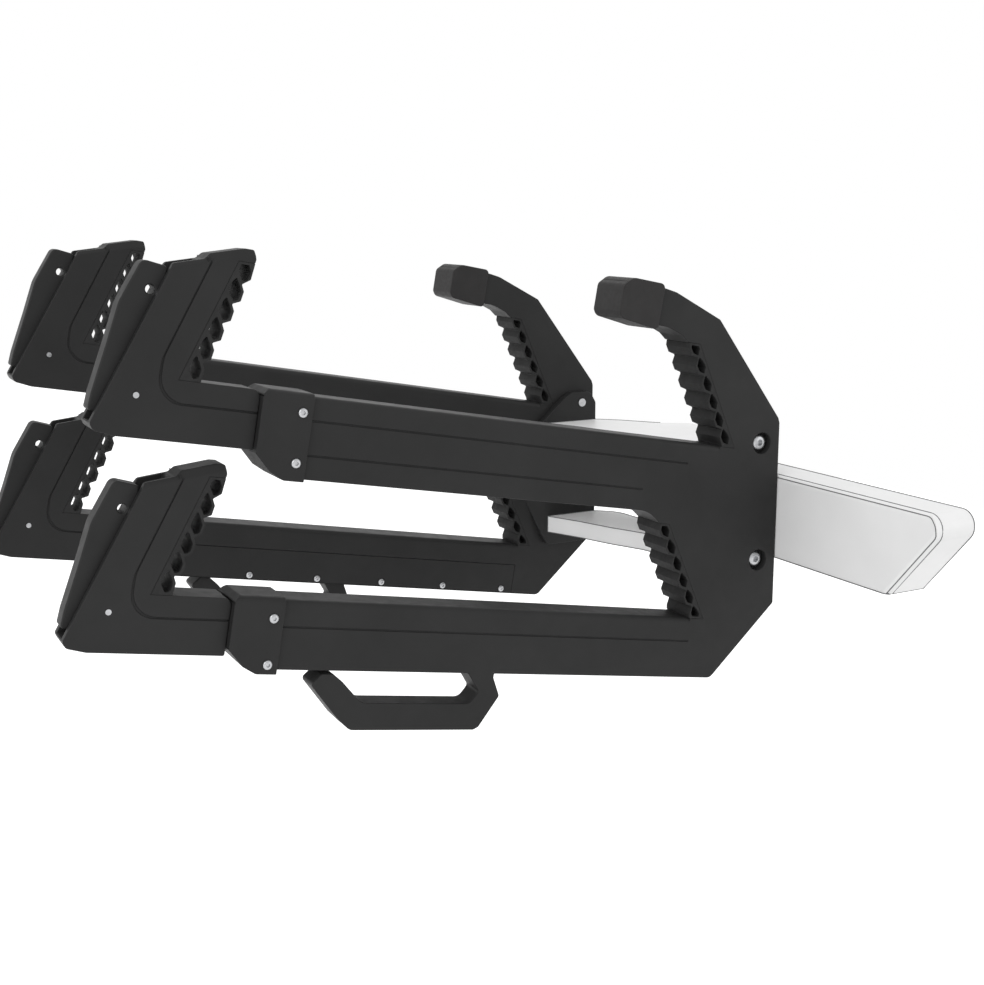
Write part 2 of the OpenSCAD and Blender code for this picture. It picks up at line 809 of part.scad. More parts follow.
module front_upper_cover() { color(paint) front() cover_shape(upper_cover_end); }
module front_lower_cover() { color(paint) front() low() cover_shape(lower_cover_end); }
module rear_upper_cover() { color(paint) rear() cover_shape(upper_cover_end); }
module rear_lower_cover() { color(paint) rear() low() cover_shape(lower_cover_end); }

module cover_screws() {
  color(steel) {
    front() { cover_screw_row(upper_cover_end); low() cover_screw_row(lower_cover_end); }
    rear() { cover_screw_row(upper_cover_end); low() cover_screw_row(lower_cover_end); }
  }
}

module front_upper_collar() { color(paint) front() upper_collar(); }
module front_lower_collar() { color(paint) front() lower_collar(); }
module rear_upper_collar() { color(paint) rear() upper_collar(); }
module rear_lower_collar() { color(paint) rear() lower_collar(); }

module collar_screws() {
  color(steel) {
    front() { collar_screw_pair(-32.9); low() collar_screw_pair(-31.2); }
    rear() { collar_screw_pair(-32.9); low() collar_screw_pair(-31.2); }
  }
}

module front_upper_brake_strip() { color(steel) front() strip_shape(); }
module front_lower_brake_strip() { color(steel) front() low() strip_shape(); }
module rear_upper_brake_strip() { color(steel) rear() strip_shape(); }
module rear_lower_brake_strip() { color(steel) rear() low() strip_shape(); }

module front_upper_jaw() { color(paint) front() jaw_body_shape(); }
module front_upper_jaw_pad() { color(grip) front() jaw_pad_shape(); }
module front_upper_lever() { color(dark) front() lever_shape(); }
module front_upper_pins() { color(steel) front() jaw_pin_pair(); }
module front_upper_pull_rod() { color(steel) front() rod_shape(); }
module front_upper_brake_dog() { color(steel) front() dog_shape(); }
module front_upper_dog_spring() { color(steel) front() spring_shape(); }

module front_lower_jaw() { color(paint) front() low() jaw_body_shape(); }
module front_lower_jaw_pad() { color(grip) front() low() jaw_pad_shape(); }
module front_lower_lever() { color(dark) front() low() lever_shape(); }
module front_lower_pins() { color(steel) front() low() jaw_pin_pair(); }
module front_lower_pull_rod() { color(steel) front() low() rod_shape(); }
module front_lower_brake_dog() { color(steel) front() low() dog_shape(); }
module front_lower_dog_spring() { color(steel) front() low() spring_shape(); }

module rear_upper_jaw() { color(paint) rear() jaw_body_shape(); }
module rear_upper_jaw_pad() { color(grip) rear() jaw_pad_shape(); }
module rear_upper_lever() { color(dark) rear() lever_shape(); }
module rear_upper_pins() { color(steel) rear() jaw_pin_pair(); }
module rear_upper_pull_rod() { color(steel) rear() rod_shape(); }
module rear_upper_brake_dog() { color(steel) rear() dog_shape(); }
module rear_upper_dog_spring() { color(steel) rear() spring_shape(); }

module rear_lower_jaw() { color(paint) rear() low() jaw_body_shape(); }
module rear_lower_jaw_pad() { color(grip) rear() low() jaw_pad_shape(); }
module rear_lower_lever() { color(dark) rear() low() lever_shape(); }
module rear_lower_pins() { color(steel) rear() low() jaw_pin_pair(); }
module rear_lower_pull_rod() { color(steel) rear() low() rod_shape(); }
module rear_lower_brake_dog() { color(steel) rear() low() dog_shape(); }
module rear_lower_dog_spring() { color(steel) rear() low() spring_shape(); }

mount_arm();
front_bracket();
rear_bracket();
bracket_screws();
frame_bolts();
front_frame();
rear_frame();
front_arm_end_cap();
rear_arm_end_cap();
front_arm_pad();
rear_arm_pad();
front_slot_pad();
rear_slot_pad();
front_upper_cover();
front_lower_cover();
rear_upper_cover();
rear_lower_cover();
cover_screws();
front_upper_collar();
front_lower_collar();
rear_upper_collar();
rear_lower_collar();
collar_screws();
front_upper_brake_strip();
front_lower_brake_strip();
rear_upper_brake_strip();
rear_lower_brake_strip();
front_upper_jaw();
front_upper_jaw_pad();
front_upper_lever();
front_upper_pins();
front_upper_pull_rod();
front_upper_brake_dog();
front_upper_dog_spring();
front_lower_jaw();
front_lower_jaw_pad();
front_lower_lever();
front_lower_pins();
front_lower_pull_rod();
front_lower_brake_dog();
front_lower_dog_spring();
rear_upper_jaw();
rear_upper_jaw_pad();
rear_upper_lever();
rear_upper_pins();
rear_upper_pull_rod();
rear_upper_brake_dog();
rear_upper_dog_spring();
rear_lower_jaw();
rear_lower_jaw_pad();
rear_lower_lever();
rear_lower_pins();
rear_lower_pull_rod();
rear_lower_brake_dog();
rear_lower_dog_spring();
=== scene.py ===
"""A boat-tower rack for boards: its finishes, rounded edges, springs and screws."""
import json
import math

import bmesh
import bpy
from mathutils import Matrix, Vector
from mathutils.bvhtree import BVHTree
from mathutils.geometry import delaunay_2d_cdt, intersect_point_line
from mathutils.kdtree import KDTree


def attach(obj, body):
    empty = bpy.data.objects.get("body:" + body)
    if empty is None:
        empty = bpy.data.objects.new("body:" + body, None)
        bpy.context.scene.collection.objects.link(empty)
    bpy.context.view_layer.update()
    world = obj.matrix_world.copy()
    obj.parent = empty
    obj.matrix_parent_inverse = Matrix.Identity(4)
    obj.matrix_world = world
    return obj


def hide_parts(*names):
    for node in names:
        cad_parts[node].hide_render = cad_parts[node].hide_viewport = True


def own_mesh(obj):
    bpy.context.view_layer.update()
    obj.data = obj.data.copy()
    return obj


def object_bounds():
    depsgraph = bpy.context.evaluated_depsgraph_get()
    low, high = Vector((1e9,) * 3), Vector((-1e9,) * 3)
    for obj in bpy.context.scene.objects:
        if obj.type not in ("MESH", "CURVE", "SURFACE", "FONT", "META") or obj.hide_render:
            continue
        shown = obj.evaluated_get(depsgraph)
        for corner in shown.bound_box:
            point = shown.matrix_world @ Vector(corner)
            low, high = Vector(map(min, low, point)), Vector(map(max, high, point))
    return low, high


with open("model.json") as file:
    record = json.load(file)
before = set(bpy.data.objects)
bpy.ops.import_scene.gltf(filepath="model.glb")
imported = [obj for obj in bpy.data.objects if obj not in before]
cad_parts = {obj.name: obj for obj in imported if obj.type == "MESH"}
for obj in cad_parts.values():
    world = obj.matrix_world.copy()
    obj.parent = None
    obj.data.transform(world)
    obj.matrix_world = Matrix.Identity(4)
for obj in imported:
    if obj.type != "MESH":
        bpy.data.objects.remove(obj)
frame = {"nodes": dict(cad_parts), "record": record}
cad_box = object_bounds()
NODES = frame["nodes"]
RECORD = frame["record"]
SLOT_OF = {s["node"]: s["material_slot"] for s in RECORD["subparts"]}
BODY_OF = {n: body for body, names in RECORD["behaviour"]["bodies"].items() for n in names}
# A millimetre in metres, and the distance below which two corners are one
MM = 0.001
SAME = 0.002 * MM
JAWS = ("front_upper", "front_lower", "rear_upper", "rear_lower")
SIDES = ("front", "rear")


# Colours and nodes

def linear(text):
    """An sRGB hex colour as linear RGBA."""
    rgb = [int(text[i:i + 2], 16) / 255 for i in (1, 3, 5)]
    return [c / 12.92 if c <= 0.04045 else ((c + 0.055) / 1.055) ** 2.4 for c in rgb] + [1.0]


def add(tree, kind, settings=None, **inputs):
    """Adds a node with its settings. An input, named or numbered as _0, takes a link or a value."""
    node = tree.nodes.new(kind)
    for name, value in (settings or {}).items():
        setattr(node, name, value)
    for name, source in inputs.items():
        socket = node.inputs[int(name[1:]) if name[0] == "_" else name.replace("_", " ")]
        if isinstance(source, bpy.types.NodeSocket):
            tree.links.new(source, socket)
        else:
            socket.default_value = source
    return node


def new_material(name):
    """A material, its tree and shader, and the object's own coordinates."""
    material = bpy.data.materials.new(name)
    material.use_nodes = True
    tree = material.node_tree
    shader = tree.nodes["Principled BSDF"]
    place = add(tree, "ShaderNodeTexCoord").outputs["Object"]
    return material, tree, shader, place


def grain(tree, place, size_mm, detail=2.0, stretch=None):
    """Noise whose patches are about size_mm across."""
    if stretch:
        place = add(tree, "ShaderNodeMapping", Vector=place, Scale=stretch).outputs["Vector"]
    noise = add(tree, "ShaderNodeTexNoise", Vector=place, Scale=1 / (size_mm * MM), Detail=detail)
    return noise.outputs["Fac"]


# Most of a noise's values lie between these
NOISE_LOW, NOISE_HIGH = 0.3, 0.7


def spread(tree, value, low, high):
    """The noise's middle range, spread from low to high."""
    return add(tree, "ShaderNodeMapRange", Value=value, From_Min=NOISE_LOW, From_Max=NOISE_HIGH,
               To_Min=low, To_Max=high).outputs["Result"]


def two_tones(tree, value, first, second):
    """A colour that drifts with the noise from the first hex colour to the second."""
    ramp = add(tree, "ShaderNodeValToRGB", Fac=value)
    for stop, at, tone in zip(ramp.color_ramp.elements, (NOISE_LOW, NOISE_HIGH), (first, second)):
        stop.position, stop.color = at, linear(tone)
    return ramp.outputs["Color"]


def bumped(tree, shader, layers):
    """Stacks bumps on the shader. A layer is its height and how many millimetres deep it is."""
    normal = None
    for height, deep in layers:
        bump = add(tree, "ShaderNodeBump", Height=height, Strength=1.0, Distance=deep * MM)
        if normal:
            tree.links.new(normal, bump.inputs["Normal"])
        normal = bump.outputs["Normal"]
    tree.links.new(normal, shader.inputs["Normal"])


# In mm: the patches in which a paint's tone and gloss drift, its fine dust and how deep that is
TONE_PATCH, GLOSS_PATCH, DUST, DUST_DEEP = 45, 9, 0.9, 0.008
# How far the roughness drifts down and up, on paint and on metal
PAINT_DRIFT, METAL_DRIFT = (-0.04, 0.05), (-0.06, 0.07)


def powder_coat(name, first, second, rough, specular, peel_mm=2.2, peel_deep=0.03):
    """Baked powder paint on cast aluminium: satin, with the orange peel of the melted powder."""
    material, tree, shader, place = new_material(name)
    tone = two_tones(tree, grain(tree, place, TONE_PATCH), first, second)
    tree.links.new(tone, shader.inputs["Base Color"])
    gloss = spread(tree, grain(tree, place, GLOSS_PATCH), *(rough + drift for drift in PAINT_DRIFT))
    tree.links.new(gloss, shader.inputs["Roughness"])
    shader.inputs["Specular IOR Level"].default_value = specular
    peel, dust = grain(tree, place, peel_mm), grain(tree, place, DUST, detail=1.0)
    bumped(tree, shader, [(peel, peel_deep), (dust, DUST_DEEP)])
    return material


# In mm: the patches in which a moulding's tone and gloss drift, and the grain of its skin
MOULDED_TONE, MOULDED_GLOSS, SKIN = 12, 3, 0.8


def moulded(name, first, second, rough, specular, skin_deep):
    """Moulded rubber or plastic: matt, with the spark-eroded skin of its mould."""
    material, tree, shader, place = new_material(name)
    tone = two_tones(tree, grain(tree, place, MOULDED_TONE), first, second)
    tree.links.new(tone, shader.inputs["Base Color"])
    gloss = spread(tree, grain(tree, place, MOULDED_GLOSS), *rough)
    tree.links.new(gloss, shader.inputs["Roughness"])
    shader.inputs["Specular IOR Level"].default_value = specular
    bumped(tree, shader, [(grain(tree, place, SKIN, detail=3.0), skin_deep)])
    return material


# In mm: how long the metal's tool lines are and how deep
TOOL_LINE, TOOL_DEEP = 3.5, 0.006


def brushed_metal(name, first, second, rough, stretch=(1.0, 1.0, 14.0)):
    """Bright metal with the fine lines of its drawing or turning, across the stretched axis."""
    material, tree, shader, place = new_material(name)
    shader.inputs["Metallic"].default_value = 1.0
    lines = grain(tree, place, TOOL_LINE, detail=3.0, stretch=stretch)
    tree.links.new(two_tones(tree, lines, first, second), shader.inputs["Base Color"])
    gloss = spread(tree, lines, *(rough + drift for drift in METAL_DRIFT))
    tree.links.new(gloss, shader.inputs["Roughness"])
    bumped(tree, shader, [(lines, TOOL_DEEP)])
    return material


MATERIALS = {
    # Forks, jaws, levers and collars: near black and satin, so that only their edges catch light
    "dark_paint": powder_coat("graphite_powder_coat", "#252525", "#292929", 0.5, 0.16),
    # Caps on the over-arms: matt and a shade browner than the paint, so they read as fitted on
    "dark_cap": moulded("moulded_charcoal_nylon", "#272626", "#2b2a2a", (0.5, 0.62), 0.2, 0.015),
    # Celled pads: the dullest and darkest surface, so that the cells read as soft
    "pad_rubber": moulded("moulded_epdm_rubber", "#1d1d1d", "#242424", (0.66, 0.8), 0.3, 0.03),
    # Mounting arm: an even light grey that lifts the arm off the forks
    "grey_cast": powder_coat("light_grey_powder_coat", "#e2e2e2", "#e6e6e6", 0.4, 0.45, 2.6, 0.02),
    # Bolts, screws and pins: small bright points with the lines of their turning
    "stainless": brushed_metal("turned_stainless_steel", "#a9aaac", "#bcbdbf", 0.33,
                               (1.0, 16.0, 1.0)),
    # Rods, dogs and strips: a duller, slightly blue steel seen when a jaw is drawn out
    "zinc_steel": brushed_metal("zinc_plated_steel", "#8d9094", "#a1a4a8", 0.38,
                                (14.0, 1.0, 1.0)),
    # Dog springs: darker wire with the lines of its drawing
    "spring_steel": brushed_metal("drawn_spring_steel", "#8d8f92", "#a5a7aa", 0.3),
}

# Painted shade: the dark grey of the thin lines that stand in for the shade along the arm's edges
# and along the edges of its roundings
PAINTED_EDGE_SHADE = powder_coat("painted_edge_shade", "#5e5f60", "#696a6b", 0.6, 0.2)

for name, node in NODES.items():
    node.data.materials.clear()
    node.data.materials.append(MATERIALS[SLOT_OF[name]])


# Castings with rounded edges, in place of the CAD's sharp ones

# Faces that lean less than this from each other are one flat face
FLAT = math.radians(0.6)
# A face whose outline crosses itself over less than this area is left alone
LEAST_CROSSING = 0.2 * MM ** 2
# When it is cut, corners this close are one (in metres), its pieces may differ from the whole by
# this share, and gaps of up to this many edges are filled
CUT_SAME, AREA_SHARE, GAP_EDGES = 1e-8, 0.01, 12
# A rounding keeps to 1 / ROOM of the distance to the next parallel edge, looked for every SPACING
ROOM, SPACING, PARALLEL = 2.3, 2 * MM, 0.9
# Edges that turn by more than this are rounded
SHARP_EDGE = math.radians(32)
# How far the large faces rule the shading of the roundings beside them, of 100
FLAT_WEIGHT = 80


def finished(piece, name, material=None):
    """Turns the object's modifiers into its mesh and gives it its name and finish."""
    graph = bpy.context.evaluated_depsgraph_get()
    mesh = bpy.data.meshes.new_from_object(
        piece.evaluated_get(graph), preserve_all_data_layers=True, depsgraph=graph)
    piece.modifiers.clear()
    piece.data = mesh
    piece.name = mesh.name = name
    if material:
        mesh.materials.clear()
        mesh.materials.append(material)
    return piece


def merged_copy(node):
    """The CAD node's mesh as one closed skin, its flat faces whole again."""
    mesh = bpy.data.meshes.new(node)
    work = bmesh.new()
    work.from_mesh(NODES[node].data)
    bmesh.ops.remove_doubles(work, verts=work.verts, dist=SAME)
    bmesh.ops.dissolve_degenerate(work, dist=SAME, edges=work.edges)
    bmesh.ops.dissolve_limit(work, angle_limit=FLAT, use_dissolve_boundaries=False,
                             verts=work.verts, edges=work.edges)
    for face in work.faces:
        face.smooth = True
    work.to_mesh(mesh)
    work.free()
    return mesh


def cut_crossing_faces(mesh):
    """Cuts each flat face whose outline the rounding made cross itself into sound triangles."""
    work = bmesh.new()
    work.from_mesh(mesh)
    work.normal_update()
    # The area that is turned over in each face with more corners than a rounding's own quads
    crossed = {}
    for corners in work.calc_loop_triangles():
        face = corners[0].face
        a, b, c = (corner.vert.co for corner in corners)
        turned = (b - a).cross(c - a).dot(face.normal) / 2
        if turned < 0 and len(face.verts) > 4:
            crossed[face] = crossed.get(face, 0) - turned
    for face, turned in crossed.items():
        if turned < LEAST_CROSSING:
            continue
        to_plane = face.normal.rotation_difference(Vector((0, 0, 1))).to_matrix()
        flat = [to_plane @ v.co for v in face.verts]
        height = sum(p.z for p in flat) / len(flat)
        places, _, triangles, origins, _, _ = delaunay_2d_cdt(
            [p.xy for p in flat], [], [list(range(len(flat)))], 1, CUT_SAME)
        area = sum((places[j] - places[i]).cross(places[k] - places[i]) / 2
                   for i, j, k in triangles)
        if abs(area - face.calc_area()) > AREA_SHARE * area:
            continue
        verts = [face.verts[origin[0]] if origin else
                 work.verts.new(to_plane.transposed() @ Vector((place.x, place.y, height)))
                 for place, origin in zip(places, origins)]
        bmesh.ops.delete(work, geom=[face], context="FACES_ONLY")
        for triangle in triangles:
            corners = [verts[i] for i in triangle]
            if len(set(corners)) == 3 and not work.faces.get(corners):
                work.faces.new(corners).smooth = True
    bmesh.ops.remove_doubles(work, verts=work.verts, dist=SAME)
    bmesh.ops.dissolve_degenerate(work, dist=SAME / 2, edges=work.edges)
    bmesh.ops.holes_fill(work, edges=[e for e in work.edges if e.is_boundary], sides=GAP_EDGES)
    work.to_mesh(mesh)
    work.free()


def weigh_edges(mesh, width):
    """Gives each sharp edge the share of the width that its own wall has room for."""
    work = bmesh.new()
    work.from_mesh(mesh)
    layer = work.edges.layers.float.new("bevel_weight_edge")
    sharp = [edge for edge in work.edges if edge.calc_face_angle(0) > SHARP_EDGE]
    ends = [[v.co for v in edge.verts] for edge in sharp]
    along = [(b - a).normalized() for a, b in ends]
    spots = [(a.lerp(b, (i + 0.5) / n), k) for k, (a, b) in enumerate(ends)
             for n in [int((b - a).length / SPACING) + 1] for i in range(n)]
    near = KDTree(len(spots))
    for i, (spot, _) in enumerate(spots):
        near.insert(spot, i)
    near.balance()
    room = [ROOM * width] * len(sharp)
    for spot, k in spots:
        for _, i, _ in near.find_range(spot, ROOM * width + SPACING / 2):
            other = spots[i][1]
            if other != k and abs(along[k].dot(along[other])) > PARALLEL:
                foot, share = intersect_point_line(spot, *ends[other])
                if 0 < share < 1:
                    room[k] = min(room[k], (foot - spot).length)
    for edge, space in zip(sharp, room):
        edge[layer] = space / (ROOM * width)
    work.to_mesh(mesh)
    work.free()


def rounded(node, width_mm, segments):
    """A copy of the CAD node whose edges have the small radius of a casting or moulding."""
    skin = merged_copy(node)
    weigh_edges(skin, width_mm * MM)
    surface = BVHTree.FromPolygons([v.co for v in skin.vertices],
                                   [p.vertices for p in skin.polygons])
    piece = bpy.data.objects.new(node + "_finished", skin)
    bpy.context.scene.collection.objects.link(piece)
    bevel = piece.modifiers.new("edges", "BEVEL")
    bevel.width = width_mm * MM
    bevel.segments = segments
    bevel.limit_method = "WEIGHT"
    bevel.use_clamp_overlap = False
    finished(piece, node + "_finished")
    # Where three edges run nearly straight together, a corner can slide off. It goes back
    for vertex in piece.data.vertices:
        near, _, _, away = surface.find_nearest(vertex.co)
        if away > width_mm * MM:
            vertex.co = near
    cut_crossing_faces(piece.data)
    shade = piece.modifiers.new("shade", "WEIGHTED_NORMAL")
    shade.keep_sharp = True
    shade.weight = FLAT_WEIGHT
    finished(piece, node + "_finished", MATERIALS[SLOT_OF[node]])
    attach(piece, BODY_OF[node])
    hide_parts(node)
    return piece


def islands(node):
    """The lowest and highest corner of each loose solid in a CAD node, in metres."""
    work = bmesh.new()
    work.from_mesh(merged_copy(node))
    boxes, left = [], set(work.verts)
    while left:
        found, rim = [], [left.pop()]
        while rim:
            found.append(rim.pop())
            near = {e.other_vert(found[-1]) for e in found[-1].link_edges} & left
            left -= near
            rim.extend(near)
        boxes.append([Vector(pick(v.co[i] for v in found) for i in range(3))
                      for pick in (min, max)])
    work.free()
    return sorted(boxes, key=lambda box: tuple(box[0]))


# Trees for what repeats: screws on their seats, and wound springs

# How far a screw may be turned on its seat before its hexagon looks the same again
TURN = math.radians(60)
# A head's facets around and up, and as shares of 1 where its dome starts and how far it draws in
HEAD_SIDES, HEAD_RINGS, DOME_START, DOME_REACH = 40, 9, 0.25, 0.78
# Facets around a shank, along each turn of a spring and around its wire
SHANK_SIDES, COIL_STEPS, WIRE_SIDES = 32, 32, 12
# Edges of these pieces that turn by more than this stay sharp
CREASE = math.radians(35)


def new_tree(name, sizes):
    """A geometry tree that takes seats, sizes and a finish. Gives the tree and its input node."""
    tree = bpy.data.node_groups.new(name, "GeometryNodeTree")
    tree.interface.new_socket("Seats", in_out="INPUT", socket_type="NodeSocketGeometry")
    for size in sizes:
        tree.interface.new_socket(size, in_out="INPUT", socket_type="NodeSocketFloat")
    tree.interface.new_socket("Finish", in_out="INPUT", socket_type="NodeSocketMaterial")
    tree.interface.new_socket("Pieces", in_out="OUTPUT", socket_type="NodeSocketGeometry")
    return tree, add(tree, "NodeGroupInput")


def end_tree(tree, given, shape):
    """Sets the shape on every seat, its Z along the seat's facing, and ends the tree."""
    facing = add(tree, "GeometryNodeInputNamedAttribute", {"data_type": "FLOAT_VECTOR"},
                 Name="facing")
    turned = add(tree, "FunctionNodeAlignRotationToVector", {"axis": "Z"},
                 Vector=facing.outputs["Attribute"])
    placed = add(tree, "GeometryNodeInstanceOnPoints", Points=given.outputs["Seats"],
                 Instance=shape, Rotation=turned.outputs["Rotation"])
    # Each is driven home to another angle
    angle = add(tree, "FunctionNodeRandomValue", {"data_type": "FLOAT"}, _2=0.0, _3=TURN, Seed=4)
    about = add(tree, "ShaderNodeCombineXYZ", Z=angle.outputs[1])
    turned = add(tree, "GeometryNodeRotateInstances", Instances=placed.outputs[0],
                 Rotation=about.outputs[0])
    whole = add(tree, "GeometryNodeRealizeInstances", Geometry=turned.outputs[0])
    coated = add(tree, "GeometryNodeSetMaterial", Geometry=whole.outputs[0],
                 Material=given.outputs["Finish"])
    add(tree, "NodeGroupOutput", _0=coated.outputs[0])
    return tree


def button_screw_tree():
    """A screw with a domed head and its hexagon socket on the seat, and a plain shank below."""
    tree, given = new_tree("button_screw", ("Head", "Height", "Shank", "Length", "Socket", "Deep"))
    sizes = given.outputs
    blank = add(tree, "GeometryNodeMeshCylinder", Vertices=HEAD_SIDES, Side_Segments=HEAD_RINGS,
                Radius=1.0, Depth=1.0)
    spot = add(tree, "ShaderNodeSeparateXYZ", _0=add(tree, "GeometryNodeInputPosition").outputs[0])
    rise = add(tree, "ShaderNodeMath", {"operation": "ADD"}, _0=spot.outputs["Z"], _1=0.5)
    # The rim stands straight, and the dome draws in above it
    curve = add(tree, "ShaderNodeMapRange", Value=rise.outputs[0],
                From_Min=DOME_START, From_Max=1.0, To_Min=0.0, To_Max=DOME_REACH)
    square = add(tree, "ShaderNodeMath", {"operation": "POWER"}, _0=curve.outputs[0], _1=2.0)
    rest = add(tree, "ShaderNodeMath", {"operation": "SUBTRACT"}, _0=1.0, _1=square.outputs[0])
    width = add(tree, "ShaderNodeMath", {"operation": "SQRT"}, _0=rest.outputs[0])
    half = add(tree, "ShaderNodeMath", {"operation": "MULTIPLY"}, _0=sizes["Head"], _1=0.5)
    width = add(tree, "ShaderNodeMath", {"operation": "MULTIPLY"},
                _0=width.outputs[0], _1=half.outputs[0])
    unit = add(tree, "ShaderNodeCombineXYZ",
               X=spot.outputs["X"], Y=spot.outputs["Y"], Z=rise.outputs[0])
    scale = add(tree, "ShaderNodeCombineXYZ",
                X=width.outputs[0], Y=width.outputs[0], Z=sizes["Height"])
    spot = add(tree, "ShaderNodeVectorMath", {"operation": "MULTIPLY"},
               _0=unit.outputs[0], _1=scale.outputs[0])
    head = add(tree, "GeometryNodeSetPosition", Geometry=blank.outputs[0], Position=spot.outputs[0])
    # Hexagon socket
    half = add(tree, "ShaderNodeMath", {"operation": "MULTIPLY"}, _0=sizes["Socket"], _1=0.5)
    twice = add(tree, "ShaderNodeMath", {"operation": "MULTIPLY"}, _0=sizes["Deep"], _1=2.0)
    key = add(tree, "GeometryNodeMeshCylinder", Vertices=6, Radius=half.outputs[0],
              Depth=twice.outputs[0])
    up = add(tree, "ShaderNodeCombineXYZ", Z=sizes["Height"])
    key = add(tree, "GeometryNodeTransform", Geometry=key.outputs[0], Translation=up.outputs[0])
    head = add(tree, "GeometryNodeMeshBoolean", {"operation": "DIFFERENCE"},
               _0=head.outputs[0], _1=key.outputs[0])
    # Shank
    half = add(tree, "ShaderNodeMath", {"operation": "MULTIPLY"}, _0=sizes["Shank"], _1=0.5)
    shank = add(tree, "GeometryNodeMeshCylinder", Vertices=SHANK_SIDES, Radius=half.outputs[0],
                Depth=sizes["Length"])
    down = add(tree, "ShaderNodeMath", {"operation": "MULTIPLY"}, _0=sizes["Length"], _1=-0.5)
    down = add(tree, "ShaderNodeCombineXYZ", Z=down.outputs[0])
    shank = add(tree, "GeometryNodeTransform", Geometry=shank.outputs[0],
                Translation=down.outputs[0])
    whole = add(tree, "GeometryNodeJoinGeometry", Geometry=head.outputs[0])
    tree.links.new(shank.outputs[0], whole.inputs[0])
    return end_tree(tree, given, whole.outputs[0])


def spring_tree():
    """A round wire wound into a spring that stands on its seat."""
    tree, given = new_tree("wound_spring", ("Coil", "Wire", "Rise", "Turns"))
    sizes = given.outputs
    path = add(tree, "GeometryNodeCurveSpiral", Resolution=COIL_STEPS, Rotations=sizes["Turns"],
               Start_Radius=sizes["Coil"], End_Radius=sizes["Coil"], Height=sizes["Rise"])
    half = add(tree, "ShaderNodeMath", {"operation": "MULTIPLY"}, _0=sizes["Wire"], _1=0.5)
    section = add(tree, "GeometryNodeCurvePrimitiveCircle", Resolution=WIRE_SIDES,
                  Radius=half.outputs[0])
    wire = add(tree, "GeometryNodeCurveToMesh", Curve=path.outputs[0],
               Profile_Curve=section.outputs[0], Fill_Caps=True)
    up = add(tree, "ShaderNodeCombineXYZ", Z=half.outputs[0])
    wire = add(tree, "GeometryNodeTransform", Geometry=wire.outputs[0], Translation=up.outputs[0])
    return end_tree(tree, given, wire.outputs[0])


def grown(name, tree, seats, sizes_mm, replaced):
    """The tree's pieces on the seats, as a plain mesh that stands for the CAD node."""
    mesh = bpy.data.meshes.new(name)
    mesh.from_pydata([place for place, facing in seats], [], [])
    facings = mesh.attributes.new("facing", "FLOAT_VECTOR", "POINT")
    for held, (place, facing) in zip(facings.data, seats):
        held.vector = facing
    piece = bpy.data.objects.new(name, mesh)
    bpy.context.scene.collection.objects.link(piece)
    modifier = piece.modifiers.new("pieces", "NODES")
    modifier.node_group = tree
    values = dict(sizes_mm, Finish=MATERIALS[SLOT_OF[replaced]])
    for socket in tree.interface.items_tree:
        if socket.in_out == "INPUT" and socket.name in values:
            value = values[socket.name]
            modifier[socket.identifier] = value * MM if isinstance(value, float) else value
    finished(piece, name)
    for polygon in piece.data.polygons:
        polygon.use_smooth = True
    piece.data.set_sharp_from_angle(angle=CREASE)
    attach(piece, BODY_OF[replaced])
    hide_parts(replaced)
    return piece


# Node, head width and height, shank width and length, socket across corners and its depth in mm,
# and the side that its heads face: -1 away from the rack's middle, 1 towards it
SCREWS = {
    "collar_screws": (6.8, 1.66, 4.0, 9.2, 3.0, 1.1, -1),
    "cover_screws": (6.0, 1.5, 3.0, 10.0, 2.6, 1.0, 1),
    "frame_bolts": (14.0, 4.1, 8.0, 33.5, 5.8, 2.7, -1),
}
button_screw = button_screw_tree()
for node, (head, high, shank, long, key, deep, inward) in SCREWS.items():
    seats = []
    for low, high_corner in islands(node):
        middle = (low + high_corner) / 2
        side = inward if middle.y < 0 else -inward
        tip = low.y if side > 0 else high_corner.y
        seats.append(((middle.x, tip + side * long * MM, middle.z), (0, side, 0)))
    sizes = {"Head": head, "Height": high, "Shank": shank, "Length": long, "Socket": key,
             "Deep": deep}
    grown(node + "_turned", button_screw, seats, sizes, node)

wound_spring = spring_tree()
# A dog spring's coil radius and wire in mm, its turns, and the share of its length that is left
# when the dog is lifted. The turns are no length, so MM is divided out of them again
COIL, WIRE, TURNS, DOG_LIFT = 3.0, 1.1, 5.0, 0.82
for jaw in JAWS:
    (low, high_corner), = islands(jaw + "_dog_spring")
    middle = (low + high_corner) / 2
    piece = grown(jaw + "_wound_spring", wound_spring, [((middle.x, middle.y, low.z), (0, 0, 1))],
                  {"Coil": COIL, "Wire": WIRE, "Rise": (high_corner.z - low.z) / MM - WIRE,
                   "Turns": TURNS / MM}, jaw + "_dog_spring")
    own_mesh(piece)


# Width of each rounding in mm and its facets. The pads' thin walls have room for very little
SIDE_EDGES = {"frame": (0.7, 2), "arm_end_cap": (1.0, 2), "bracket": (0.8, 2),
              "arm_pad": (0.25, 2), "slot_pad": (0.25, 2)}
JAW_EDGES = {"jaw": (0.6, 2), "lever": (1.2, 3), "collar": (0.8, 2), "jaw_pad": (0.25, 2)}
ARM_EDGES = (0.8, 2)
for side in SIDES:
    for part, edge in SIDE_EDGES.items():
        rounded(f"{side}_{part}", *edge)
for jaw in JAWS:
    for part, edge in JAW_EDGES.items():
        rounded(f"{jaw}_{part}", *edge)
rounded("mount_arm", *ARM_EDGES)
